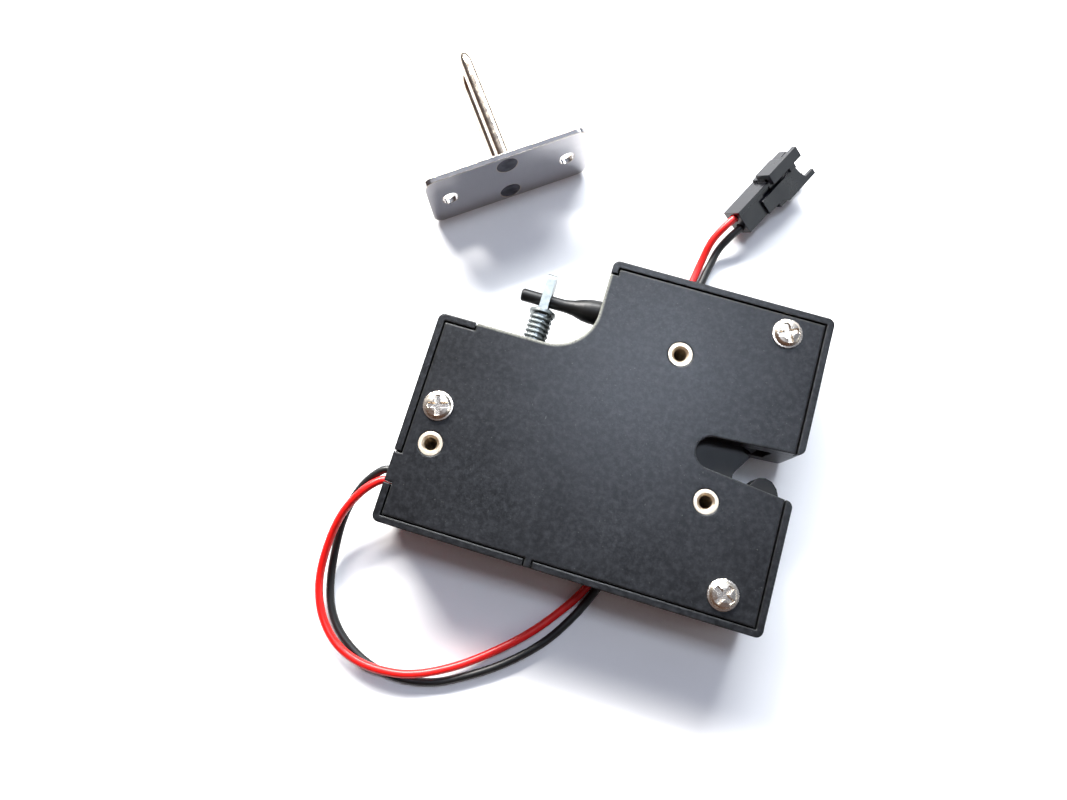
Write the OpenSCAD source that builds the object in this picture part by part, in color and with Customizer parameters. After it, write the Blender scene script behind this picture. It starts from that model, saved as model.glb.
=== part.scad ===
// Magnetic door lock: a flat solenoid release lock with a rotary claw, its two-wire
// lead and plug, and the loose striker plate that it holds.
// Millimetres. X runs along the long side towards the mouth, Y towards the plunger,
// Z up out of the cover. Z = 0 is the face of the three mounting bosses.

/* [Case] */
// Length of the case along X
case_length = 73; // [72.6:0.1:73.4]
// Length of the case along Y
case_height = 61; // [60.6:0.1:61.4]
// Thickness of the case from its back to its rim
case_depth = 13.5; // [13.3:0.1:13.8]
// Wall thickness of the case
wall = 1.5; // [1.3:0.1:1.6]
// Height of the mounting bosses behind the case
boss_rise = 2; // [1.8:0.1:2.4]
// Width of the raised rim round the cover
rim_width = 1.3; // [1.1:0.05:1.4]
// Gap between the rim and the cover
cover_gap = 0.3; // [0.2:0.05:0.4]
// Depth of the cover below the rim
cover_sink = 0.2; // [0.1:0.05:0.3]

/* [Claw] */
// Outer radius of the claw
claw_radius = 14.3; // [14:0.1:14.4]
// Thickness of the claw
claw_thick = 6; // [5.6:0.1:6.1]
// Width of the claw's slot for the striker rod
claw_slot = 3.65; // [3.5:0.05:3.8]
// Diameter of the threaded posts and spacers
post_d = 4.6; // [4.5:0.05:4.7]
// Running clearance round the posts
post_play = 0.05; // [0.03:0.01:0.08]

/* [Release] */
// Thickness of the release lever
lever_thick = 4; // [3.6:0.1:4.2]
// Diameter of the lever's pin through the tongue
horn_d = 2.6; // [2.4:0.1:2.7]
// Diameter of the plunger
plunger_d = 3.7; // [3.5:0.05:3.75]
// Outer diameter of the plunger spring
spring_d = 4.9; // [4.7:0.05:5]
// Number of turns in the plunger spring
spring_turns = 8; // [6:1:9]

/* [Striker] */
// Length of the striker plate
plate_length = 35.2; // [34:0.2:36]
// Width of the striker plate
plate_width = 15.6; // [15:0.2:16.4]
// Thickness of the striker plate
plate_thick = 1.2; // [1:0.1:1.4]
// Diameter of the striker rod
rod_d = 3; // [2.8:0.1:3.4]

/* [Hidden] */

$fn = 40;
fine = 48;
eps = 0.01;
far = 20; // longer than any cut is deep

// heights
case_back = boss_rise;
floor_z = case_back + wall;
rim_top = case_back + case_depth;
cover_top = rim_top - cover_sink;
cover_thick = 1.8;
cover_z = cover_top - cover_thick;
mid_z = (floor_z + cover_z) / 2;

// outline
right_x = case_length / 2;
left_x = -right_x;
top_y = case_height / 2;
bottom_y = -top_y;
ledge_y = 10.8;
step_x = -7.1;
scoop_x = -15.5;
scoop_r = step_x - scoop_x;
scoop_y = ledge_y + scoop_r;
corner_r = 1.3;

// screw, post and spacer positions
claw_pivot = [21.3, -9.9];
lever_pivot = [9.9, 15.7];
spacer_at = [-30.4, -14];
screw_at = [[28.3, 25.3], [-31.2, -6.8], [28.2, -25.05]];
screw_turn = [26, 16, 61];
screw_boss_d = 5.6;
screw_hole_d = 2.9;
pilot_d = 2.3;
screw_head = 1.35;
cross_long = 3.9;
cross_wide = 0.95;
cross_deep = 0.8;
thread_d = 2.5;
thread_chamfer_d = 3.3;
boss_d = 7;
pivot_r = post_d / 2 + post_play;

// mouth
mouth_end = [20.2, -0.85];
mouth_r = 3.05;
mouth_top = [[20.2, 2.2], [right_x + 1, 3.42]];
mouth_low = [[20.2, -3.9], [right_x + 1, -5.68]];

// claw
claw_z = mid_z - claw_thick / 2;
claw_top = claw_z + claw_thick;
slot_angle = 58.3;
slot_shift = -1.68;
slot_bottom = 8.8;
flank_angle = 15;
tip_angle = 69;
tip_r = claw_radius - 1.5;
jaw_end_angle = 113;
claw_drop = 0.3;

// release
lever_z = mid_z - lever_thick / 2;
lever_drop = 4.5;
plunger_x = -18.2;
coil_low_y = -19;
coil_top_y = 9.2;
washer_y = 17.9;
washer_thick = 0.6;
tongue_low_y = washer_y + washer_thick + 0.02;
tongue_top_y = 26.1;
tongue_thick = 1.8;
tongue_wide = 5;
horn_y = 20.95;
neck_x = -14.6;
neck_r = 2.55;
neck_tilt = 3.2;
spring_wire = 0.55;
yoke_thick = 1.5;
yoke_x = [-26.6, -9.8];
yoke_half = 4.7;
rib_rise = 4;
rib_thick = 1.6;
bobbin_d = 5.2;
bore_d = plunger_d + 0.15;
coil_d = 8.6;
terminal_x = -25.6;
terminal_y = -17.4;
terminal_gap = 1.7;
terminal_d = 0.7;

// leads
lead_d = 1.6;
lead_exit_z = 8.6;
cable_y = [-23.3, -19.5];
cable_half = 0.95;

// plug
plug_at = [15.26, 50.44, 3.9];
plug_turn = 64;
plug_roll = 34.7;
plug_block = [10, 2.7, 2.45];
plug_front = 16.5;
plug_wing_z = 2.9;
plug_low_z = -1.9;
plug_right = -4.1;
plug_left = 3.3;
cell_y = 1.3;
cell_d = 2;

// striker
strike_at = [-33.2, 44.56];
strike_turn = 36.5;
strike_lean = 3.04;
plate_corner_r = 2.3;
slot_gap = 13;
slot_d = 3.3;
slot_play = 0.15;
leg_gap = 10;
rod_reach = 31.9;
rod_neck_d = rod_d - 0.6;
rivet_d = 4.5;
rivet_sink = 0.5;

// ---------- helpers ----------

module at(p, z = 0) {
    translate([p[0], p[1], z]) children();
}

module disc(p, z0, z1, d) {
    at(p, z0) cylinder(h = z1 - z0, d = d);
}

module slab(z0, z1) {
    translate([0, 0, z0]) linear_extrude(z1 - z0) children();
}

module block(x0, x1, y0, y1, z0, z1) {
    translate([x0, y0, z0]) cube([x1 - x0, y1 - y0, z1 - z0]);
}

module area(x0, x1, y0, y1) {
    translate([x0, y0]) square([x1 - x0, y1 - y0]);
}

module rounded(r) {
    offset(r = r, $fn = 24) offset(delta = -r) children();
}

function unit(v) = v / norm(v);
function heading(p, i) = unit(p[min(i + 1, len(p) - 1)] - p[max(i - 1, 0)]);

// a round tube along a path, closed at both ends; up is never along the path
module wire(path, d, sides = 8, up = [0, 0, 1]) {
    n = len(path);
    points = [
        for (i = [0 : n - 1])
            let (h = heading(path, i), a = unit(cross(h, up)), b = cross(h, a))
                for (k = [0 : sides - 1])
                    let (t = (k + 0.5) * 360 / sides)
                        path[i] + (a * cos(t) + b * sin(t)) * d / 2
    ];
    faces = concat(
        [[for (k = [0 : sides - 1]) k]],
        [[for (k = [sides - 1 : -1 : 0]) (n - 1) * sides + k]],
        [for (i = [0 : n - 2])
            for (k = [0 : sides - 1])
                let (k2 = (k + 1) % sides)
                    [i * sides + k, (i + 1) * sides + k, (i + 1) * sides + k2]],
        [for (i = [0 : n - 2])
            for (k = [0 : sides - 1])
                let (k2 = (k + 1) % sides)
                    [i * sides + k, (i + 1) * sides + k2, i * sides + k2]]
    );
    polyhedron(points = points, faces = faces, convexity = 6);
}

// ---------- case ----------

module mouth_shape(grow = 0) {
    offset(delta = grow) {
        translate(mouth_end) circle(r = mouth_r);
        polygon([mouth_top[0], mouth_top[1], mouth_low[1], mouth_low[0]]);
    }
}

module body_shape() {
    difference() {
        rounded(corner_r) difference() {
            area(left_x, right_x, bottom_y, top_y);
            area(left_x - 1, scoop_x, ledge_y, top_y + 1);
            area(scoop_x - 1, step_x, scoop_y, top_y + 1);
            mouth_shape();
        }
        translate([scoop_x, scoop_y]) circle(r = scoop_r);
    }
}

// where the raised rim of the case stands
module rim_zone() {
    area(left_x - 1, -29.2, 8, ledge_y + 1);
    area(left_x - 1, left_x + 3, -16.9, ledge_y + 1);
    area(left_x - 1, left_x + 3, bottom_y - 1, -23.2);
    area(left_x - 1, -7.7, bottom_y - 1, bottom_y + 3);
    area(-5.9, right_x + 1, bottom_y - 1, bottom_y + 3);
    area(right_x - rim_width, right_x + 1, bottom_y - 1, top_y + 1);
    area(step_x - 1, right_x + 1, top_y - 2.6, top_y + 1);
}

module rim_shape() {
    intersection() {
        difference() {
            body_shape();
            offset(delta = -rim_width) body_shape();
        }
        rim_zone();
    }
}

module cover_shape() {
    difference() {
        body_shape();
        offset(delta = cover_gap, $fn = 16) rim_shape();
        for (p = [claw_pivot, lever_pivot, spacer_at])
            translate(p) circle(d = post_d + 0.1);
    }
}

module cable_gap() {
    block(left_x - 1, left_x + wall + 1, cable_y[0], cable_y[1],
        lead_exit_z - cable_half, cover_z + 1);
}

// the space that the claw sweeps, cut out of the walls round the mouth
module claw_pocket() {
    intersection() {
        at(claw_pivot, claw_z - claw_drop)
            cylinder(h = claw_thick + 2 * claw_drop, r = claw_radius + 0.35, $fn = fine);
        block(0, right_x - 0.5, claw_pivot[1] - 1.5, 10, 0, far);
    }
    block(25, 31.6, 1, 9, claw_z - claw_drop, claw_top + claw_drop);
}

module rear_case() {
    color([0.09, 0.09, 0.1]) difference() {
        union() {
            slab(case_back, floor_z) body_shape();
            slab(floor_z - eps, cover_z - 0.02) difference() {
                body_shape();
                offset(delta = -wall) body_shape();
            }
            slab(cover_z - 0.03, rim_top) rim_shape();
            for (p = [claw_pivot, lever_pivot, spacer_at])
                disc(p, 0, floor_z + 1.2, boss_d);
            disc(spacer_at, floor_z, cover_z - 0.02, boss_d - 0.6);
            disc(claw_pivot, floor_z, claw_z - 0.55, boss_d + 1);
            disc(lever_pivot, floor_z, lever_z - 0.05, boss_d + 1);
            for (p = screw_at)
                disc(p, floor_z - eps, cover_z - 0.02, screw_boss_d);
            // ribs that hold the solenoid
            block(yoke_x[0] - rib_thick, yoke_x[0] - 0.05, -1, 8, floor_z - eps, floor_z + rib_rise);
            block(yoke_x[1] + 0.05, yoke_x[1] + rib_thick, -18, -10, floor_z - eps, floor_z + rib_rise);
            block(yoke_x[1] + 0.05, yoke_x[1] + rib_thick, 0, 8, floor_z - eps, floor_z + rib_rise);
            block(-22, -12, coil_low_y - 1.5, coil_low_y - 1, floor_z - eps, floor_z + rib_rise);
        }
        for (p = [claw_pivot, lever_pivot, spacer_at])
            disc(p, -1, far, post_d + 0.02);
        for (p = screw_at)
            disc(p, floor_z + 0.5, far, pilot_d);
        cable_gap();
        claw_pocket();
        // hole for the plunger
        translate([plunger_x, ledge_y + 1, mid_z]) rotate([90, 0, 0])
            cylinder(h = wall + 2, d = spring_d + 0.7);
        // window for the lever
        block(step_x - 4.5, step_x + 3, scoop_y - 4.2, scoop_y + 6.6,
            mid_z - neck_r - 0.2, mid_z + neck_r + 0.2);
    }
}

module front_cover() {
    color([0.08, 0.08, 0.09]) difference() {
        union() {
            slab(cover_z, cover_top) cover_shape();
            // lugs on the inside that keep the claw and the lever down
            disc(claw_pivot, claw_top + 0.05, cover_z + eps, 6.2);
            disc(lever_pivot, lever_z + lever_thick + 0.05, cover_z + eps, 7.2);
            // tongue over the cable
            block(left_x + 0.1, left_x + wall, cable_y[0] + 0.4, cable_y[1] - 0.3,
                lead_exit_z + cable_half, cover_z + eps);
        }
        for (p = [claw_pivot, lever_pivot, spacer_at])
            disc(p, 0, far, post_d + 0.1);
        for (p = screw_at)
            disc(p, 0, far, screw_hole_d);
    }
}

// a cross recess as wide as most of the head
module screw_cross(turn) {
    for (a = [0, 90])
        rotate([0, 0, a + turn])
            translate([-cross_long / 2, -cross_wide / 2, screw_head - cross_deep])
                cube([cross_long, cross_wide, cross_deep + 1]);
}

// flanged pan-head screws, each with its own turn of the recess
module cover_screws() {
    color([0.72, 0.7, 0.66]) for (i = [0 : 2]) at(screw_at[i], cover_top) difference() {
        rotate_extrude($fn = 32) polygon([
            [0, -8.5], [0.5, -8.5], [1.1, -7.7], [1.1, 0.01], [2.85, 0.01], [2.85, 0.3],
            [2.5, 0.35], [2.45, 0.85], [2.1, 1.12], [1.3, 1.3], [0, screw_head]
        ]);
        screw_cross(screw_turn[i]);
    }
}

// a threaded tube with a chamfered mouth at both ends
module post(p) {
    at(p) difference() {
        cylinder(h = cover_top, d = post_d);
        translate([0, 0, -1]) cylinder(h = far, d = thread_d);
        translate([0, 0, cover_top - 0.4])
            cylinder(h = 0.41, d1 = thread_d, d2 = thread_chamfer_d);
        translate([0, 0, -0.01])
            cylinder(h = 0.41, d1 = thread_chamfer_d, d2 = thread_d);
    }
}

module lever_post() {
    color([0.75, 0.72, 0.66]) post(lever_pivot);
}

module claw_post() {
    color([0.75, 0.72, 0.66]) post(claw_pivot);
}

module mounting_spacer() {
    color([0.75, 0.72, 0.66]) post(spacer_at);
}

// ---------- solenoid ----------

module along_y(y0, y1, d) {
    translate([plunger_x, y1, mid_z]) rotate([90, 0, 0]) cylinder(h = y1 - y0, d = d);
}

module solenoid_yoke() {
    color([0.7, 0.7, 0.68]) difference() {
        union() {
            block(yoke_x[0], yoke_x[1], coil_top_y - yoke_thick, coil_top_y,
                mid_z - yoke_half, mid_z + yoke_half);
            block(yoke_x[1] - yoke_thick, yoke_x[1], coil_low_y, coil_top_y,
                mid_z - yoke_half, mid_z + yoke_half);
            block(-24.3, yoke_x[1], coil_low_y, coil_low_y + yoke_thick,
                mid_z - yoke_half, mid_z + yoke_half);
        }
        along_y(coil_low_y - 1, coil_low_y + 3, 3.04);
        along_y(coil_top_y - 3, coil_top_y + 1, bore_d + 0.1);
    }
}

module solenoid_bobbin() {
    low = coil_low_y + yoke_thick + 0.05;
    top = coil_top_y - yoke_thick - 0.05;
    color([0.85, 0.84, 0.8]) difference() {
        union() {
            along_y(low, top, bobbin_d);
            for (y = [low, top - 1.1])
                block(terminal_x, yoke_x[1] - yoke_thick - 0.05, y, y + 1.1,
                    mid_z - 4.5, mid_z + 4.5);
            block(-26.6, -24.5, low - 1.3, low + 1.1, mid_z - 3, mid_z + 3);
        }
        along_y(low - 1, top + 1, bore_d);
        for (s = [-1, 1])
            translate([terminal_x, low + 0.2, mid_z + s * terminal_gap]) rotate([90, 0, 0])
                cylinder(h = 2, d = terminal_d + 0.02, $fn = 16);
    }
}

module coil_winding() {
    color([0.6, 0.3, 0.15]) difference() {
        along_y(coil_low_y + yoke_thick + 1.2, coil_top_y - yoke_thick - 1.2, coil_d);
        along_y(coil_low_y, coil_top_y, bobbin_d + 0.02);
    }
}

module coil_tape() {
    color([0.75, 0.62, 0.2]) difference() {
        along_y(coil_low_y + yoke_thick + 1.6, coil_top_y - yoke_thick - 1.6, coil_d + 0.32);
        along_y(coil_low_y, coil_top_y, coil_d + 0.02);
    }
}

module core_stop() {
    color([0.68, 0.68, 0.66]) union() {
        along_y(coil_low_y + yoke_thick + 0.02, -12.3, plunger_d + 0.05);
        along_y(coil_low_y - 0.6, coil_low_y + yoke_thick + 0.1, 3);
        along_y(coil_low_y - 0.6, coil_low_y - 0.02, 4.2);
    }
}

module terminal_pins() {
    color([0.8, 0.78, 0.7]) for (s = [-1, 1])
        translate([terminal_x, terminal_y, mid_z + s * terminal_gap]) rotate([90, 0, 0])
            cylinder(h = 3.2, d = terminal_d, $fn = 16);
}

module splice_sleeves() {
    color([0.1, 0.1, 0.1]) for (s = [-1, 1])
        translate([terminal_x, terminal_y - 1.9, mid_z + s * terminal_gap]) rotate([90, 0, 0])
        difference() {
            cylinder(h = 3.4, d = 2.1, $fn = 24);
            translate([0, 0, -1]) cylinder(h = 6, d = 1.66, $fn = 24);
        }
}

// ---------- plunger ----------

module plunger() {
    color([0.7, 0.7, 0.7]) difference() {
        along_y(-7.8, tongue_low_y + 0.5, plunger_d);
        block(plunger_x - tongue_thick / 2 - 0.01, plunger_x + tongue_thick / 2 + 0.01,
            tongue_low_y - 3, tongue_low_y + 5, mid_z - 5, mid_z + 5);
    }
}

module plunger_tongue() {
    color([0.78, 0.78, 0.74]) translate([plunger_x - tongue_thick / 2, 0, mid_z])
        rotate([90, 0, 90]) linear_extrude(tongue_thick) difference() {
            union() {
                translate([tongue_low_y, -tongue_wide / 2])
                    square([tongue_top_y - tongue_low_y - 1.2, tongue_wide]);
                translate([tongue_top_y - 2.4, -tongue_wide / 2 + 1.2])
                    square([2.4, tongue_wide - 2.4]);
                for (s = [-1, 1])
                    translate([tongue_top_y - 1.2, s * (tongue_wide / 2 - 1.2)])
                        circle(r = 1.2, $fn = 24);
                translate([tongue_low_y - 2.9, -1.6]) square([3, 3.2]);
            }
            for (d = [-0.25, 0.25])
                translate([horn_y + d, 0]) circle(d = horn_d + 0.6, $fn = 32);
            translate([horn_y - 0.25, -horn_d / 2 - 0.3]) square([0.5, horn_d + 0.6]);
        }
}

module plunger_washer() {
    color([0.8, 0.8, 0.76]) difference() {
        along_y(washer_y, washer_y + washer_thick, spring_d + 0.5);
        along_y(washer_y - 1, washer_y + 2, plunger_d + 0.1);
    }
}

// a coil of round wire about the Y axis
module coil_y(y0, y1, d, wire_d, turns, steps = 14) {
    r = (d - wire_d) / 2;
    a = y0 + wire_d / 2;
    b = y1 - wire_d / 2;
    n = turns * steps;
    wire([for (i = [0 : n])
        [plunger_x + r * cos(i * 360 / steps), a + (b - a) * i / n,
            mid_z + r * sin(i * 360 / steps)]], wire_d, 6, [0, 1, 0]);
}

module plunger_spring() {
    color([0.8, 0.8, 0.78])
        coil_y(coil_top_y + 0.05, washer_y - 0.05, spring_d, spring_wire, spring_turns);
}

// ---------- lever ----------

// the nose that drops behind the claw, drawn in its dropped place
module nose_shape() {
    translate(claw_pivot) polygon([
        for (a = [59.5 : 1.58 : 67.4]) 13.15 * [cos(a), sin(a)],
        17.6 * [cos(67.4), sin(67.4)],
        17.6 * [cos(59.5), sin(59.5)]
    ]);
}

module lever_shape() {
    translate(lever_pivot) circle(d = 8.8);
    // left arm out to the window
    polygon([[9.9, 20.1], [4, 22.6], [-3, 23.7], [-7, 23.5], [-7, 18.9], [0, 16.8], [7, 12.4]]);
    // right arm over the claw
    polygon([[11, 11.4], [17, 9.9], [22, 7.8], [26.5, 6.3], [30.6, 6.5], [31, 8.2],
        [28.4, 10.6], [22.5, 13], [15, 17], [11, 20]]);
    translate(lever_pivot) rotate(lever_drop) translate(-lever_pivot) nose_shape();
}

// the round horn: a pin through the tongue on a flared, slightly tilted neck
module horn() {
    r = horn_d / 2;
    translate([neck_x + 0.3, horn_y, mid_z]) rotate([0, -90, 0]) rotate_extrude($fn = 32)
        polygon([[0, 0], [r, 0], [r, 8.7], [r - 0.15, 9], [r - 0.4, 9.1], [0, 9.1]]);
    translate([neck_x, horn_y, mid_z]) rotate([0, 0, neck_tilt]) rotate([0, 90, 0])
        rotate_extrude($fn = 32) polygon([
            [0, 0], [r, 0], [r + 0.1, 1], [1.62, 2.2], [1.95, 3.2], [2.25, 4.2],
            [2.45, 5.4], [neck_r, 7], [neck_r, 8.6], [0, 8.6]
        ]);
}

module release_lever() {
    color([0.07, 0.07, 0.08]) difference() {
        union() {
            slab(lever_z, lever_z + lever_thick) lever_shape();
            horn();
        }
        at(lever_pivot) cylinder(h = far, r = pivot_r, $fn = fine);
    }
}

// ---------- claw ----------

function polar(r, a) = [r * cos(a), r * sin(a)];

module claw_shape() {
    difference() {
        union() {
            circle(d = 11);
            // lower jaw
            polygon([
                polar(4.5, -30), polar(8.6, -8), polar(12.2, 4), polar(12.6, flank_angle + 0.6),
                for (a = [flank_angle : 3 : 27]) polar(claw_radius, a),
                [11.61, 7.61], [10.34, 7.94], [9.03, 7.62], [7.55, 5.81],
                polar(3, 60)
            ]);
            // upper jaw
            polygon([
                polar(5.4, 5), [7.7, 5.9], polar(12.2, 55),
                polar(tip_r - 0.1, 58.6), polar(tip_r, 62), polar(tip_r, tip_angle - 1),
                for (a = [tip_angle : 4 : jaw_end_angle]) polar(claw_radius, a),
                polar(13, jaw_end_angle + 3), polar(9.5, 126), polar(5.3, 160)
            ]);
        }
        rotate(slot_angle) {
            translate([slot_bottom, slot_shift]) circle(d = claw_slot, $fn = 32);
            translate([slot_bottom, slot_shift - claw_slot / 2]) square([12, claw_slot]);
        }
        // mouth in front of the lower jaw
        polygon([[7.55, 5.81], [9.03, 7.62], [10.34, 7.94], [11.61, 7.61],
            [12.6, 6.7], [16, 9], [12, 14], [8, 10]]);
        circle(r = pivot_r, $fn = fine);
    }
}

module claw() {
    color([0.06, 0.06, 0.07]) at(claw_pivot, claw_z) linear_extrude(claw_thick) claw_shape();
}

module claw_washer() {
    color([0.8, 0.78, 0.74]) difference() {
        disc(claw_pivot, claw_z - 0.5, claw_z - 0.05, 8);
        disc(claw_pivot, 0, far, post_d + 0.1);
    }
}

module claw_spring() {
    r = 3.75;
    low = claw_top + 0.45;
    steps = 14;
    n = 2 * steps;
    rise = 0.62 / steps;
    color([0.8, 0.8, 0.78]) translate([claw_pivot[0], claw_pivot[1], 0]) wire(concat(
        [[-9, -3.75, low], [-4, -3.75, low]],
        [for (i = [0 : n]) [r * sin(i * 360 / steps), -r * cos(i * 360 / steps),
            low + rise * i]],
        [[4, -3.75, low + rise * n], [8, -3.75, low + rise * n]]
    ), 0.5, 6);
}

// ---------- leads and plug ----------

red_inside = [[-25.6, -22.3, 6.8], [-25.6, -24, 6.8], [-27, -25.4, 7],
    [-29.6, -24.9, 7.6], [-33, -22.9, 8.4], [-36.5, -22.3, 8.6]];
red_outside = [[-38.8, -23.1, 8.9], [-41.6, -26.3, 8.7], [-44.2, -31.4, 7],
    [-45.4, -37.8, 4.8], [-45.2, -44.6, 3], [-42.8, -50.5, 2.4], [-38.4, -54.9, 2.4],
    [-32.9, -57, 2.4], [-26.6, -57.1, 2.4], [-21, -55.7, 2.3], [-14.8, -52.5, 1.9],
    [-9.1, -48.3, 1.5], [-3.5, -43.2, 1.2], [0.9, -38, 0.9]];
red_under = [[4.8, -32.2, 0.82], [6.7, -27, 0.82], [7.5, -20, 0.82], [7.4, -13, 0.82],
    [5.9, -6, 0.82], [4.2, 1, 0.82], [3.1, 8, 0.82], [2.9, 15, 0.82], [4, 22, 0.82],
    [6.1, 28, 0.82]];
red_end = [[9.1, 34, 0.82], [10.2, 40, 1.4], [11.1, 45, 3.1], [12.8, 48.4, 4.4],
    [14.4, 50.9, 4.8], [15.27, 52.7, 4.81]];
black_inside = [[-25.6, -22.3, 10.2], [-25.6, -23.4, 10.2], [-26.9, -24.3, 10.1],
    [-29.6, -22.9, 9.6], [-33, -20.9, 8.9], [-36.5, -20.5, 8.6]];
black_outside = [[-38.9, -20.9, 8.5], [-42, -24.8, 7.2], [-44, -30.6, 4.9],
    [-44.4, -37, 2.6], [-43.5, -44.3, 1.2], [-41.3, -49.8, 0.82], [-37.3, -54, 0.82],
    [-31.4, -57, 0.82], [-25, -57.9, 0.82], [-18.7, -56.9, 0.82], [-13.2, -54.3, 0.82],
    [-6.5, -49.9, 0.82], [-0.1, -43.9, 0.82], [4.1, -37.8, 0.82]];
black_under = [[7, -31.8, 0.82], [8.6, -27, 0.82], [9.3, -20, 0.82], [9.2, -13, 0.82],
    [7.7, -6, 0.82], [6, 1, 0.82], [4.9, 8, 0.82], [4.7, 15, 0.82], [5.8, 22, 0.82],
    [7.9, 27.5, 0.82]];
black_end = [[10.9, 33.6, 0.82], [12.1, 39.7, 1.1], [13, 44, 1.8], [14.5, 47.1, 2.8],
    [16.3, 49.9, 3.3], [17.2, 51.72, 3.32]];

module lead_red() {
    color([0.75, 0.06, 0.04])
        wire(concat(red_inside, red_outside, red_under, red_end), lead_d);
}

module lead_black() {
    color([0.05, 0.05, 0.05])
        wire(concat(black_inside, black_outside, black_under, black_end), lead_d);
}

// places its children with X along the plug, from its rear face
module on_plug() {
    translate(plug_at) rotate([0, 0, plug_turn]) rotate([plug_roll, 0, 0]) children();
}

module plug_shell() {
    color([0.05, 0.05, 0.05]) on_plug() difference() {
        union() {
            // rear block with its two wire cells
            block(0, plug_block[0], -plug_block[1], plug_block[1], -plug_block[2],
                plug_block[2] - 0.6);
            block(0, plug_block[0], plug_block[1] - 1, plug_block[1], 0, plug_block[2]);
            block(0, 7, -plug_block[1], plug_block[1], 0, plug_block[2] - 0.2);
            // shroud
            block(9.4, plug_front, plug_right, plug_left, plug_low_z, plug_wing_z - 0.8);
            // wing over the shroud, wider towards the front
            translate([0, 0, plug_wing_z - 0.81]) linear_extrude(0.81) polygon([
                [5.8, 0.6], [5.8, -2.7], [9.8, -2.7], [11.4, plug_right],
                [20, plug_right], [20, -2.9], [17.6, -2.9], [16.9, -1.4], [16.5, 0.6]
            ]);
            block(5.8, 9.5, -2.7, -1.9, 0, plug_wing_z - 0.8);
            // side rails
            block(16.4, 18.4, plug_left - 1.1, plug_left, plug_low_z, 0.4);
            block(16.4, 19, plug_right, plug_right + 1, plug_low_z, 0.4);
        }
        for (s = [-1, 1])
            translate([-1, s * cell_y, 0.1]) rotate([0, 90, 0])
                cylinder(h = 5.4, d = cell_d, $fn = 24);
        block(10.4, 18, plug_right + 1, plug_left - 1, plug_low_z + 0.9, plug_wing_z - 1.6);
        for (s = [-1, 1])
            block(4.3, 11, s * cell_y - 0.55, s * cell_y + 0.55, -0.45, 0.65);
    }
}

module plug_bridge() {
    outer = 4.43;
    top = 4.2;
    color([0.06, 0.06, 0.06]) on_plug() {
        // press plate on the side of the plug
        block(9.4, 14.4, plug_left + 0.03, outer, -0.1, top);
        // arm forward of it
        block(9.4, 18.2, 2, outer, top - 1.2, top);
        // hinge web down to the wing
        block(14.5, 16.2, 0.8, 2.1, plug_wing_z + 0.02, top - 0.4);
    }
}

module plug_pins() {
    color([0.82, 0.76, 0.6]) on_plug() for (s = [-1, 1])
        translate([4.5, s * cell_y - 0.4, -0.3]) cube([11.4, 0.8, 0.8]);
}

// ---------- striker ----------

// places its children with X along the plate, Y up its face and Z out of its back
module on_striker() {
    translate([strike_at[0], strike_at[1], plate_thick * sin(strike_lean)])
        rotate([0, 0, strike_turn]) rotate([90 - strike_lean, 0, 0])
            mirror([0, 0, 1]) children();
}

module striker_plate() {
    color([0.72, 0.7, 0.74]) on_striker() difference() {
        translate([0, plate_width / 2, 0]) linear_extrude(plate_thick) difference() {
            rounded(plate_corner_r) square([plate_length, plate_width], center = true);
            for (s = [-1, 1]) {
                for (t = [-slot_play, slot_play])
                    translate([s * slot_gap, t]) circle(d = slot_d, $fn = 24);
                translate([s * slot_gap - slot_d / 2, -slot_play])
                    square([slot_d, 2 * slot_play]);
            }
        }
        for (s = [-1, 1]) translate([0, plate_width / 2 + s * leg_gap / 2, -1]) {
            cylinder(h = plate_thick + 2, d = rod_neck_d + 0.02);
            cylinder(h = 1 + rivet_sink, d = rivet_d);
        }
    }
}

// a U of round rod, riveted flush into the plate
module striker_rod() {
    bend_r = leg_gap / 2;
    reach = rod_reach - bend_r - rod_d / 2;
    rivet_z = 0.1;
    color([0.74, 0.7, 0.66]) on_striker() translate([0, plate_width / 2, 0]) {
        for (s = [-1, 1]) translate([0, s * bend_r, 0]) {
            translate([0, 0, plate_thick + 0.01])
                cylinder(h = reach - plate_thick - 0.01, d = rod_d);
            translate([0, 0, rivet_z]) cylinder(h = plate_thick, d = rod_neck_d);
            translate([0, 0, rivet_z])
                cylinder(h = rivet_sink - rivet_z - 0.02, d = rivet_d - 0.1);
        }
        translate([0, 0, reach]) rotate([0, 90, 0]) rotate([0, 0, 90])
            rotate_extrude(angle = 180, $fn = fine)
                translate([bend_r, 0]) circle(d = rod_d, $fn = 24);
    }
}

// ---------- nodes ----------

rear_case();
front_cover();
cover_screws();
lever_post();
claw_post();
mounting_spacer();
solenoid_yoke();
solenoid_bobbin();
coil_winding();
coil_tape();
core_stop();
terminal_pins();
splice_sleeves();
plunger();
plunger_tongue();
plunger_washer();
plunger_spring();
release_lever();
claw();
claw_spring();
claw_washer();
lead_red();
lead_black();
plug_shell();
plug_bridge();
plug_pins();
striker_plate();
striker_rod();
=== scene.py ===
import math

import bmesh
import bpy
from mathutils import Matrix, Vector


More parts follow.
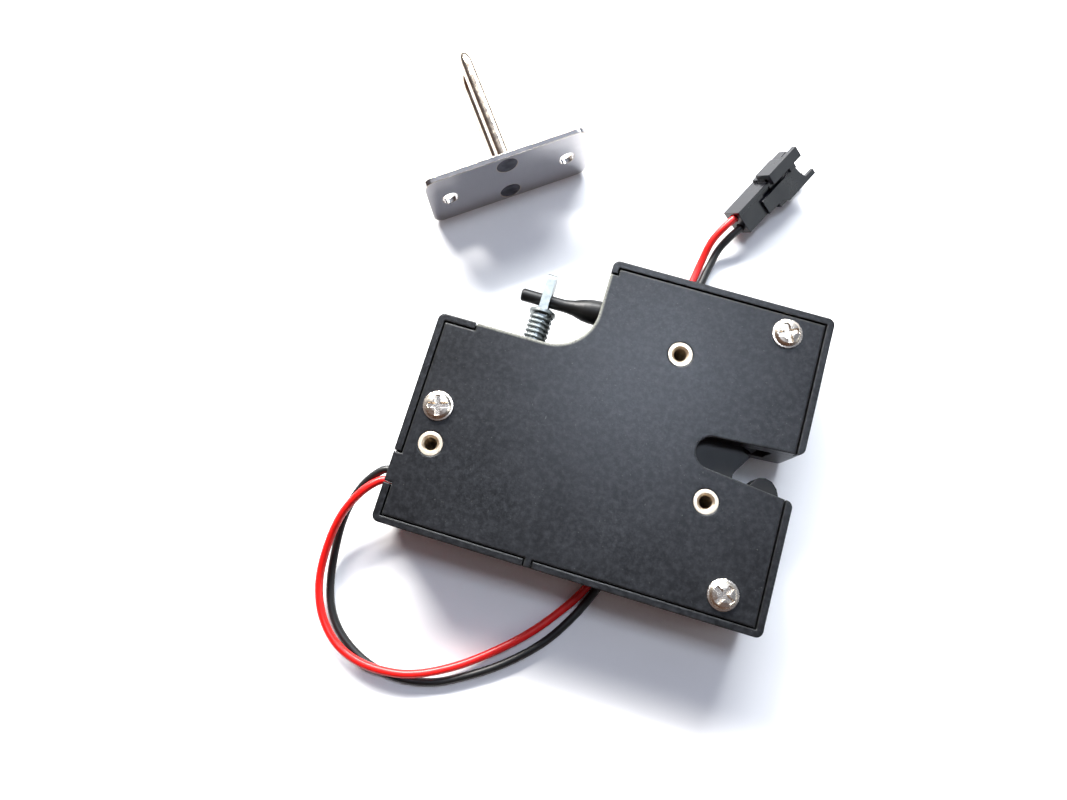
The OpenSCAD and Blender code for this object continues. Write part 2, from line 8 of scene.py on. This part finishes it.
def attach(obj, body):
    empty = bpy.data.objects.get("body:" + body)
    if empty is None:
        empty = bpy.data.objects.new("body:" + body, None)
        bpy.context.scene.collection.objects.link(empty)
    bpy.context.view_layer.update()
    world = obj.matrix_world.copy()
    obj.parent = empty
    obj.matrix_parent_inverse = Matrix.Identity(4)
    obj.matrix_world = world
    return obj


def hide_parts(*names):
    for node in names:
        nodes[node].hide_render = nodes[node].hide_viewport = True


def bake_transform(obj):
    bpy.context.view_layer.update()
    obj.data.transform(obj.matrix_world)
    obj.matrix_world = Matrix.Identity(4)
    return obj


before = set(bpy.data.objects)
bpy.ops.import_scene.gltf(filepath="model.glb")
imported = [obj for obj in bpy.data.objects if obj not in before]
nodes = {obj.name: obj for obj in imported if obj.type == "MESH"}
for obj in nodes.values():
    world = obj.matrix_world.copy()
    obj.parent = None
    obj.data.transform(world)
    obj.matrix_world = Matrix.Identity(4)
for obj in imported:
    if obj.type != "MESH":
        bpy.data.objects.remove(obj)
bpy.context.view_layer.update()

MM = 0.001

# ---------- camera ----------

CAMERA_PLACE = (-3.535, -27.686, 158.105)
CAMERA_RIGHT = (0.95792, 0.28646, -0.01802)
CAMERA_UP = (-0.27734, 0.93994, 0.19898)
CAMERA_BACK = (0.07394, -0.18561, 0.97984)
CAMERA_LENS = 26.15
SENSOR_WIDTH = 36


def add_camera():
    data = bpy.data.cameras.new("camera")
    data.lens = CAMERA_LENS
    data.sensor_width = SENSOR_WIDTH
    data.sensor_fit = "HORIZONTAL"
    data.clip_start = 0.01
    data.clip_end = 20
    camera = bpy.data.objects.new("camera", data)
    bpy.context.scene.collection.objects.link(camera)
    turn = Matrix((CAMERA_RIGHT, CAMERA_UP, CAMERA_BACK)).transposed().to_4x4()
    camera.matrix_world = Matrix.Translation(Vector(CAMERA_PLACE) * MM) @ turn
    bpy.context.scene.camera = camera


add_camera()

# ---------- leads ----------

LEAD_D = 1.6
RED_INSIDE = [
    (-25.6, -22.3, 6.8), (-25.6, -24, 6.8), (-27, -25.4, 7), (-29.6, -24.9, 7.6),
    (-33, -22.9, 8.4), (-36.5, -22.3, 8.6),
]
RED_OUTSIDE = [
    (-36.5, -22.3, 8.6), (-38.8, -23.1, 8.9), (-41.6, -26.3, 8.7), (-44.2, -31.4, 7),
    (-45.4, -37.8, 4.8), (-45.2, -44.6, 3), (-42.8, -50.5, 2.4), (-38.4, -54.9, 2.4),
    (-32.9, -57, 2.4), (-26.6, -57.1, 2.4), (-21, -55.7, 2.3), (-14.8, -52.5, 1.9),
    (-9.1, -48.3, 1.5), (-3.5, -43.2, 1.2), (0.9, -38, 0.9), (4.8, -32.2, 0.82),
    (6.7, -27, 0.82), (7.5, -20, 0.82), (7.4, -13, 0.82), (5.9, -6, 0.82),
    (4.2, 1, 0.82), (3.1, 8, 0.82), (2.9, 15, 0.82), (4, 22, 0.82), (6.1, 28, 0.82),
    (9.1, 34, 0.82), (10.2, 40, 1.4), (11.1, 45, 3.1), (12.8, 48.4, 4.4),
    (14.4, 50.9, 4.8), (15.27, 52.7, 4.81),
]
BLACK_INSIDE = [
    (-25.6, -22.3, 10.2), (-25.6, -23.4, 10.2), (-26.9, -24.3, 10.1),
    (-29.6, -22.9, 9.6), (-33, -20.9, 8.9), (-36.5, -20.5, 8.6),
]
BLACK_OUTSIDE = [
    (-36.5, -20.5, 8.6), (-38.9, -20.9, 8.5), (-42, -24.8, 7.2), (-44, -30.6, 4.9),
    (-44.4, -37, 2.6), (-43.5, -44.3, 1.2), (-41.3, -49.8, 0.82), (-37.3, -54, 0.82),
    (-31.4, -57, 0.82), (-25, -57.9, 0.82), (-18.7, -56.9, 0.82), (-13.2, -54.3, 0.82),
    (-6.5, -49.9, 0.82), (-0.1, -43.9, 0.82), (4.1, -37.8, 0.82), (7, -31.8, 0.82),
    (8.6, -27, 0.82), (9.3, -20, 0.82), (9.2, -13, 0.82), (7.7, -6, 0.82),
    (6, 1, 0.82), (4.9, 8, 0.82), (4.7, 15, 0.82), (5.8, 22, 0.82), (7.9, 27.5, 0.82),
    (10.9, 33.6, 0.82), (12.1, 39.7, 1.1), (13, 44, 1.8), (14.5, 47.1, 2.8),
    (16.3, 49.9, 3.3), (17.2, 51.72, 3.32),
]
ROUTE_STEPS = 6


def smooth_route(points):
    """The points of one smooth curve through a route, in metres."""
    p = [Vector(q) * MM for q in points]
    route = []
    for i in range(len(p) - 1):
        a, b, c, d = p[max(i - 1, 0)], p[i], p[i + 1], p[min(i + 2, len(p) - 1)]
        for k in range(ROUTE_STEPS):
            t = k / ROUTE_STEPS
            bend = (2 * a - 5 * b + 4 * c - d) * t * t + (3 * b - a - 3 * c + d) * t ** 3
            route.append((2 * b + (c - a) * t + bend) / 2)
    return route + [p[-1]]


def round_wire(name, route, diameter):
    curve = bpy.data.curves.new(name, "CURVE")
    curve.dimensions = "3D"
    curve.bevel_depth = diameter / 2
    curve.bevel_resolution = 5
    curve.use_fill_caps = True
    spline = curve.splines.new("POLY")
    spline.points.add(len(route) - 1)
    for point, place in zip(spline.points, route):
        point.co = (*place, 1)
    wire = bpy.data.objects.new(name, curve)
    bpy.context.scene.collection.objects.link(wire)
    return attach(wire, "case")


def add_lead(name, inside, outside):
    hidden = round_wire(name + "_tail", smooth_route(inside), LEAD_D * MM)
    route = smooth_route(outside)
    lead = round_wire(name + "_run", route, LEAD_D * MM)
    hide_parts(name)
    return [lead, hidden]


red_wires = add_lead("lead_red", RED_INSIDE, RED_OUTSIDE)
black_wires = add_lead("lead_black", BLACK_INSIDE, BLACK_OUTSIDE)

# ---------- materials ----------

STRIKER_AT = (-33.2, 44.56, 0.06)
STRIKER_BACK = (-0.594, 0.8027, -0.053)
STRIKER_THICK = 1.2
CUT_CENTRE = (-15.5, 19.2)
CUT_RADIUS = 8.4
CUT_BAND = 0.65
BEVEL_SAMPLES = 6
FLAT_TURN = 0.02
EDGE_TURN = 0.25
METAL_EDGE = 0.12
ENAMEL_WAVES = 900


def fill_ramp(tree, value, stops):
    """A colour ramp over value, with (position, colour) stops."""
    ramp = tree.nodes.new("ShaderNodeValToRGB")
    marks = ramp.color_ramp.elements
    while len(marks) < len(stops):
        marks.new(0.5)
    for mark, (position, shade) in zip(marks, stops):
        mark.position = position
        mark.color = (*shade, 1)
    tree.links.new(value, ramp.inputs["Fac"])
    return ramp


def dot_with(tree, value, direction):
    """How far value points along a fixed direction."""
    dot = tree.nodes.new("ShaderNodeVectorMath")
    dot.operation = "DOT_PRODUCT"
    dot.inputs[1].default_value = direction
    tree.links.new(value, dot.inputs[0])
    return dot.outputs["Value"]


class Surface:
    """A node material with a Principled shader and short ways to add to it."""

    def __init__(self, name, color, roughness, metallic=0.0, specular=0.5):
        self.material = bpy.data.materials.new(name)
        self.material.use_nodes = True
        self.tree = self.material.node_tree
        self.shader = self.tree.nodes["Principled BSDF"]
        self.shader.inputs["Base Color"].default_value = (*color, 1)
        self.shader.inputs["Roughness"].default_value = roughness
        self.shader.inputs["Metallic"].default_value = metallic
        self.shader.inputs["Specular IOR Level"].default_value = specular
        self.place = self.tree.nodes.new("ShaderNodeTexCoord").outputs["Object"]

    def link(self, source, target):
        self.tree.links.new(source, target)

    def noise(self, size_mm, detail=3.0, rough=0.55, stretch=(1, 1, 1)):
        """A noise whose lumps are about size_mm across."""
        spread = self.tree.nodes.new("ShaderNodeMapping")
        spread.inputs["Scale"].default_value = stretch
        self.link(self.place, spread.inputs["Vector"])
        noise = self.tree.nodes.new("ShaderNodeTexNoise")
        noise.inputs["Scale"].default_value = 1 / (size_mm * MM)
        noise.inputs["Detail"].default_value = detail
        noise.inputs["Roughness"].default_value = rough
        self.link(spread.outputs["Vector"], noise.inputs["Vector"])
        return noise.outputs["Fac"]

    def ramp(self, value, *stops):
        """A colour ramp with (position, colour or number) stops."""
        colors = [(at, shade if hasattr(shade, "__len__") else (shade,) * 3) for at, shade in stops]
        return fill_ramp(self.tree, value, colors).outputs["Color"]

    def mix(self, share, first, second, blend="MIX"):
        mix = self.tree.nodes.new("ShaderNodeMix")
        mix.data_type = "RGBA"
        mix.blend_type = blend
        for socket, value in (("Factor_Float", share), ("A_Color", first), ("B_Color", second)):
            target = next(i for i in mix.inputs if i.identifier == socket)
            if isinstance(value, bpy.types.NodeSocket):
                self.link(value, target)
            elif hasattr(value, "__len__"):
                target.default_value = (*value, 1)
            else:
                target.default_value = value
        return next(o for o in mix.outputs if o.identifier == "Result_Color")

    def math(self, operation, first, second):
        node = self.tree.nodes.new("ShaderNodeMath")
        node.operation = operation
        for socket, value in zip(node.inputs, (first, second)):
            if isinstance(value, bpy.types.NodeSocket):
                self.link(value, socket)
            else:
                socket.default_value = value
        return node.outputs["Value"]

    def scratches(self):
        """A few thin slanting scratches."""
        lines = self.noise(0.7, detail=1, stretch=(1.4, 0.35, 1))
        spots = self.noise(7, detail=1)
        thin = self.ramp(lines, (0.76, 0.0), (0.8, 0.5))
        return self.mix(1.0, thin, self.ramp(spots, (0.5, 0.0), (0.6, 1.0)), "MULTIPLY")

    def paint(self, color):
        self.link(color, self.shader.inputs["Base Color"])

    def rough(self, value, low, high):
        span = self.tree.nodes.new("ShaderNodeMapRange")
        span.inputs["To Min"].default_value = low
        span.inputs["To Max"].default_value = high
        self.link(value, span.inputs["Value"])
        self.link(span.outputs["Result"], self.shader.inputs["Roughness"])

    def relief(self, *layers, edge_mm=0.0):
        """Bump from (height, depth in mm) layers, over edges rounded by edge_mm."""
        normal = None
        if edge_mm:
            bevel = self.tree.nodes.new("ShaderNodeBevel")
            bevel.samples = BEVEL_SAMPLES
            bevel.inputs["Radius"].default_value = edge_mm * MM
            normal = bevel.outputs["Normal"]
        for height, depth_mm in layers:
            bump = self.tree.nodes.new("ShaderNodeBump")
            bump.inputs["Distance"].default_value = depth_mm * MM
            self.link(height, bump.inputs["Height"])
            if normal:
                self.link(normal, bump.inputs["Normal"])
            normal = bump.outputs["Normal"]
        if normal:
            self.link(normal, self.shader.inputs["Normal"])

    def edges(self, width_mm):
        """1 near a sharp edge and 0 away from it."""
        bevel = self.tree.nodes.new("ShaderNodeBevel")
        bevel.samples = BEVEL_SAMPLES
        bevel.inputs["Radius"].default_value = width_mm * MM
        flat = self.tree.nodes.new("ShaderNodeNewGeometry").outputs["Normal"]
        dot = self.tree.nodes.new("ShaderNodeVectorMath")
        dot.operation = "DOT_PRODUCT"
        self.link(bevel.outputs["Normal"], dot.inputs[0])
        self.link(flat, dot.inputs[1])
        span = self.tree.nodes.new("ShaderNodeMapRange")
        span.inputs["From Min"].default_value = 1 - FLAT_TURN
        span.inputs["From Max"].default_value = 1 - EDGE_TURN
        self.link(dot.outputs["Value"], span.inputs["Value"])
        return span.outputs["Result"]


def moulded_plastic(name, color, dust, wear, edge_mm):
    """Matt black moulding: fine grain, dust in the grain and worn, paler edges."""
    s = Surface(name, color, 0.36, specular=0.33)
    grain = s.noise(0.22, detail=2)
    cloud = s.noise(8, detail=4)
    shade = s.ramp(cloud, (0.35, [c * 0.6 for c in color]), (0.7, [c * 1.6 for c in color]))
    patches = s.ramp(s.noise(14, detail=2), (0.4, 0.15), (0.65, 1.0))
    film = s.ramp(s.noise(0.4, detail=4, rough=0.7), (0.52, 0.0), (0.8, dust))
    mottle = s.ramp(s.noise(1.1, detail=4, rough=0.65), (0.42, 0.0), (0.68, 0.6))
    greyed = s.mix(mottle, shade, (0.022, 0.023, 0.026))
    dusty = s.mix(s.mix(1.0, film, patches, "MULTIPLY"), greyed, (0.07, 0.075, 0.08))
    specks = s.ramp(s.noise(0.35, detail=1), (0.75, 0.0), (0.8, 0.35))
    speckled = s.mix(specks, dusty, (0.14, 0.14, 0.13))
    worn = s.mix(s.ramp(s.edges(0.45), (0.1, 0.0), (1.0, wear)), speckled, (0.1, 0.105, 0.092))
    s.worn = s.mix(s.scratches(), worn, (0.09, 0.09, 0.09))
    s.paint(s.worn)
    s.rough(s.mix(0.5, grain, cloud), 0.24, 0.42)
    s.relief((cloud, 0.02), (grain, 0.014), edge_mm=edge_mm)
    return s


def bright_cut_edge(s):
    """Rubs the cover's edge along the concave cut and its ledge down to a pale band."""
    centre = (CUT_CENTRE[0] * MM, CUT_CENTRE[1] * MM, 0)
    band = CUT_BAND * MM
    move = s.tree.nodes.new("ShaderNodeVectorMath")
    move.operation = "SUBTRACT"
    move.inputs[1].default_value = centre
    s.link(s.place, move.inputs[0])
    split = s.tree.nodes.new("ShaderNodeSeparateXYZ")
    s.link(move.outputs["Vector"], split.inputs[0])
    right = s.math("MAXIMUM", split.outputs["X"], 0.0)
    down = s.math("MINIMUM", split.outputs["Y"], 0.0)
    squares = s.math("ADD", s.math("MULTIPLY", right, right), s.math("MULTIPLY", down, down))
    away = s.math("SQRT", squares, 0.0)
    inside = s.math("SUBTRACT", away, CUT_RADIUS * MM)
    near = s.tree.nodes.new("ShaderNodeMapRange")
    near.inputs["From Min"].default_value = band
    near.inputs["From Max"].default_value = band * 0.35
    s.link(inside, near.inputs["Value"])
    patchy = s.ramp(s.noise(0.35, detail=3), (0.3, 0.35), (0.55, 0.95))
    ragged = s.math("MULTIPLY", near.outputs["Result"], patchy)
    s.paint(s.mix(ragged, s.worn, (0.2, 0.2, 0.17)))


def smooth_nylon(name, color, roughness):
    """Smooth black nylon with faint flow marks."""
    s = Surface(name, color, roughness, specular=0.3)
    flow = s.noise(2.5, detail=3, stretch=(1, 1, 0.3))
    s.paint(s.ramp(flow, (0.3, color), (0.75, [c * 1.9 for c in color])))
    s.rough(flow, roughness - 0.06, roughness + 0.1)
    s.relief((s.noise(0.3), 0.004), edge_mm=0.15)
    return s.material


def plated_metal(name, color, roughness, spots=0.2, rubbed=None):
    """Plated steel with cloudy tarnish, fine scratches and, where rubbed, other edges."""
    s = Surface(name, color, roughness, metallic=1.0)
    cloud = s.noise(1.6, detail=4)
    dark = [c * (1 - spots) for c in color]
    plated = s.ramp(cloud, (0.35, dark), (0.65, color))
    if rubbed:
        plated = s.mix(s.ramp(s.edges(0.5), (0.05, 0.0), (0.6, 0.8)), plated, rubbed)
    s.paint(plated)
    scratches = s.noise(0.5, detail=2, stretch=(0.12, 1, 1))
    s.rough(s.mix(0.5, cloud, scratches), roughness * 0.7, roughness * 1.5)
    s.relief((scratches, 0.004), edge_mm=METAL_EDGE)
    return s.material


def riveted_steel(name, color, roughness):
    """Plated rod whose ends, riveted in the plate, are rough and carry a painted dark reflection.
    """
    s = Surface(name, color, roughness, metallic=1.0)
    depth = dot_with(s.tree, s.place, STRIKER_BACK)
    face = Vector(STRIKER_AT).dot(Vector(STRIKER_BACK)) * MM
    rivet = s.math("LESS_THAN", depth, face + STRIKER_THICK * MM)
    cloud = s.noise(1.4, detail=4)
    plated = s.ramp(cloud, (0.35, [c * 0.9 for c in color]), (0.65, color))
    # painted reflection: the riveted ends are painted near-black in place of the dark surroundings
    # they reflect
    painted_dark_reflection = s.ramp(s.noise(2.2, detail=3), (0.35, (0.05, 0.05, 0.06)), (0.7, (0.14, 0.14, 0.16)))
    s.paint(s.mix(rivet, plated, painted_dark_reflection))
    s.rough(s.math("MAXIMUM", rivet, s.ramp(cloud, (0.3, 0.0), (0.7, 0.35))), roughness, 0.42)
    s.relief((s.noise(0.5, stretch=(0.12, 1, 1)), 0.004), edge_mm=METAL_EDGE)
    return s.material


def insulation(name, color, roughness):
    """Glossy lead insulation with slight dents."""
    s = Surface(name, color, roughness)
    dents = s.noise(3, detail=2)
    s.paint(s.ramp(dents, (0.3, [c * 0.85 for c in color]), (0.7, color)))
    s.rough(s.noise(0.8), roughness - 0.06, roughness + 0.1)
    s.relief((dents, 0.05), (s.noise(0.4), 0.006))
    return s.material


def plain_grained(name, color, roughness):
    """Inner pieces: a little grain and colour change."""
    s = Surface(name, color, roughness)
    grain = s.noise(0.8, detail=3)
    s.paint(s.ramp(grain, (0.3, [c * 0.8 for c in color]), (0.7, color)))
    s.relief((grain, 0.02), edge_mm=0.1)
    return s.material


def wound_wire(name, color):
    """Turns of enamelled wire round the Y axis, with painted shade in the grooves between turns."""
    s = Surface(name, color, 0.3, metallic=0.8)
    wave = s.tree.nodes.new("ShaderNodeTexWave")
    wave.bands_direction = "Y"
    wave.inputs["Scale"].default_value = ENAMEL_WAVES
    wave.inputs["Distortion"].default_value = 0.4
    s.link(s.place, wave.inputs["Vector"])
    # painted shade: each turn darkens to 0.4 of its colour towards the groove beside the next turn
    s.paint(s.ramp(wave.outputs["Fac"], (0.0, [c * 0.4 for c in color]), (0.6, color)))
    s.relief((wave.outputs["Fac"], 0.08))
    return s.material


def dress(piece, material):
    piece.data.materials.clear()
    piece.data.materials.append(material)


CASE_BLACK = (0.0035, 0.0035, 0.004)
COVER_BLACK = (0.004, 0.0042, 0.005)

case_surface = moulded_plastic("case_plastic", CASE_BLACK, 0.1, 0.12, edge_mm=0.4)
cover_surface = moulded_plastic("cover_plastic", COVER_BLACK, 0.3, 0.25, edge_mm=0.55)
bright_cut_edge(cover_surface)
case_plastic = case_surface.material
cover_plastic = cover_surface.material
black_nylon = smooth_nylon("black_nylon", (0.004, 0.004, 0.004), 0.4)
plug_nylon = smooth_nylon("plug_nylon", (0.004, 0.0045, 0.007), 0.28)
nickel = plated_metal("nickel", (0.85, 0.76, 0.64), 0.24, spots=0.12)
insert_nickel = plated_metal("insert_nickel", (0.84, 0.72, 0.56), 0.38, spots=0.2)
zinc = plated_metal("zinc", (0.32, 0.35, 0.35), 0.4, spots=0.35)
striker_steel = plated_metal("striker_steel", (0.44, 0.43, 0.44), 0.16, spots=0.04,
                             rubbed=(0.72, 0.62, 0.48))
rod_steel = riveted_steel("rod_steel", (0.66, 0.57, 0.47), 0.12)
red_pvc = insulation("red_pvc", (0.72, 0.008, 0.006), 0.32)
black_pvc = insulation("black_pvc", (0.004, 0.004, 0.004), 0.42)

FINISHES = {
    "rear_case": case_plastic,
    "front_cover": cover_plastic,
    "cover_screws": nickel,
    "lever_post": insert_nickel,
    "claw_post": insert_nickel,
    "mounting_spacer": insert_nickel,
    "solenoid_yoke": zinc,
    "solenoid_bobbin": plain_grained("bobbin_nylon", (0.75, 0.72, 0.64), 0.45),
    "coil_winding": wound_wire("copper_wire", (0.55, 0.24, 0.1)),
    "coil_tape": plain_grained("amber_tape", (0.62, 0.42, 0.06), 0.25),
    "core_stop": zinc,
    "terminal_pins": plated_metal("tinned", (0.78, 0.75, 0.66), 0.25),
    "splice_sleeves": plain_grained("sleeve", (0.02, 0.02, 0.02), 0.6),
    "plunger": zinc,
    "plunger_tongue": zinc,
    "plunger_washer": zinc,
    "plunger_spring": zinc,
    "release_lever": black_nylon,
    "claw": black_nylon,
    "claw_spring": zinc,
    "claw_washer": zinc,
    "plug_shell": plug_nylon,
    "plug_bridge": plug_nylon,
    "plug_pins": plated_metal("contact_tin", (0.8, 0.74, 0.58), 0.22),
    "striker_plate": striker_steel,
    "striker_rod": rod_steel,
    "lead_red": red_pvc,
    "lead_black": black_pvc,
}
for node, finish in FINISHES.items():
    dress(nodes[node], finish)
for wire in red_wires:
    dress(wire, red_pvc)
for wire in black_wires:
    dress(wire, black_pvc)

# ---------- floor and light ----------

FLOOR_SIZE = 4
FLOOR_GAP = 0.00002
WINDOW_AWAY = 1.1
WINDOW_FROM = Vector((-0.594, 0.804, 0.62))
WINDOW_SIZE = (0.6, 0.22)
WINDOW_POWER = 40
SIDE_FROM = Vector((-0.03, 1.0, 0.66))
SIDE_SIZE = (0.45, 0.22)
SIDE_POWER = 15
RIGHT_FROM = Vector((1.0, 0.15, 0.5))
RIGHT_SIZE = (0.4, 0.3)
RIGHT_POWER = 1.8
LAMP_FROM = Vector((0.05, 0.28, 0.96))
LAMP_SIZE = (0.2, 0.2)
LAMP_POWER = 3.1
BRIGHT_FROM = Vector((0.1, 0.6, 0.8))
DARK_FROM = Vector((-0.3, -0.9, 0.25))


def add_floor():
    mesh = bpy.data.meshes.new("floor")
    shape = bmesh.new()
    bmesh.ops.create_grid(shape, x_segments=1, y_segments=1, size=FLOOR_SIZE / 2)
    shape.to_mesh(mesh)
    shape.free()
    floor = bpy.data.objects.new("floor", mesh)
    floor.location.z = -FLOOR_GAP
    bpy.context.scene.collection.objects.link(floor)
    s = Surface("white_floor", (0.9, 0.9, 0.91), 0.7, specular=0.2)
    s.paint(s.ramp(s.noise(60), (0.3, (0.89, 0.89, 0.9)), (0.7, (0.91, 0.91, 0.915))))
    mesh.materials.append(s.material)


def add_window(name, direction, size, power, color):
    data = bpy.data.lights.new(name, "AREA")
    data.shape = "RECTANGLE"
    data.size, data.size_y = size
    data.energy = power
    data.color = color
    light = bpy.data.objects.new(name, data)
    light.location = direction.normalized() * WINDOW_AWAY
    light.rotation_euler = direction.to_track_quat("Z", "Y").to_euler()
    bpy.context.scene.collection.objects.link(light)


def add_sky():
    """A room that is bluish and bright overhead, dim and warm on the near side."""
    world = bpy.data.worlds.new("room")
    bpy.context.scene.world = world
    world.use_nodes = True
    tree = world.node_tree
    back = tree.nodes["Background"]
    place = tree.nodes.new("ShaderNodeTexCoord").outputs["Generated"]

    def patch(direction, stops):
        """Colours by how far a direction is from the patch's centre."""
        ramp = fill_ramp(tree, dot_with(tree, place, direction.normalized()), stops)
        ramp.color_ramp.interpolation = "EASE"
        return ramp.outputs["Color"]

    glow = patch(BRIGHT_FROM, [(0.0, (0.11, 0.1, 0.105)), (0.7, (0.14, 0.155, 0.2)),
                               (1.0, (0.28, 0.33, 0.45))])
    shade = patch(DARK_FROM, [(0.0, (1, 1, 1)), (0.7, (1.15, 0.7, 0.48))])
    mix = tree.nodes.new("ShaderNodeVectorMath")
    mix.operation = "MULTIPLY"
    tree.links.new(glow, mix.inputs[0])
    tree.links.new(shade, mix.inputs[1])
    tree.links.new(mix.outputs["Vector"], back.inputs["Color"])
    back.inputs["Strength"].default_value = 1.0


add_floor()
add_window("window", WINDOW_FROM, WINDOW_SIZE, WINDOW_POWER, (1.0, 0.98, 0.95))
add_window("side_window", SIDE_FROM, SIDE_SIZE, SIDE_POWER, (0.93, 0.97, 1.0))
add_window("ceiling_lamp", LAMP_FROM, LAMP_SIZE, LAMP_POWER, (0.82, 0.92, 1.1))
add_window("far_window", RIGHT_FROM, RIGHT_SIZE, RIGHT_POWER, (0.9, 0.96, 1.0))
add_sky()
bpy.context.scene.view_settings.view_transform = "Standard"
bpy.context.scene.view_settings.look = "None"

# ---------- a copy of the plunger spring --------------------

def copy_of_node(name):
    """A copy of a CAD node with its transform baked in; the node itself is hidden."""
    source = nodes[name]
    piece = bpy.data.objects.new(name + "_coils", source.data.copy())
    piece.matrix_world = source.matrix_world
    bpy.context.scene.collection.objects.link(piece)
    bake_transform(piece)
    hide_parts(name)
    return piece


spring = copy_of_node("plunger_spring")
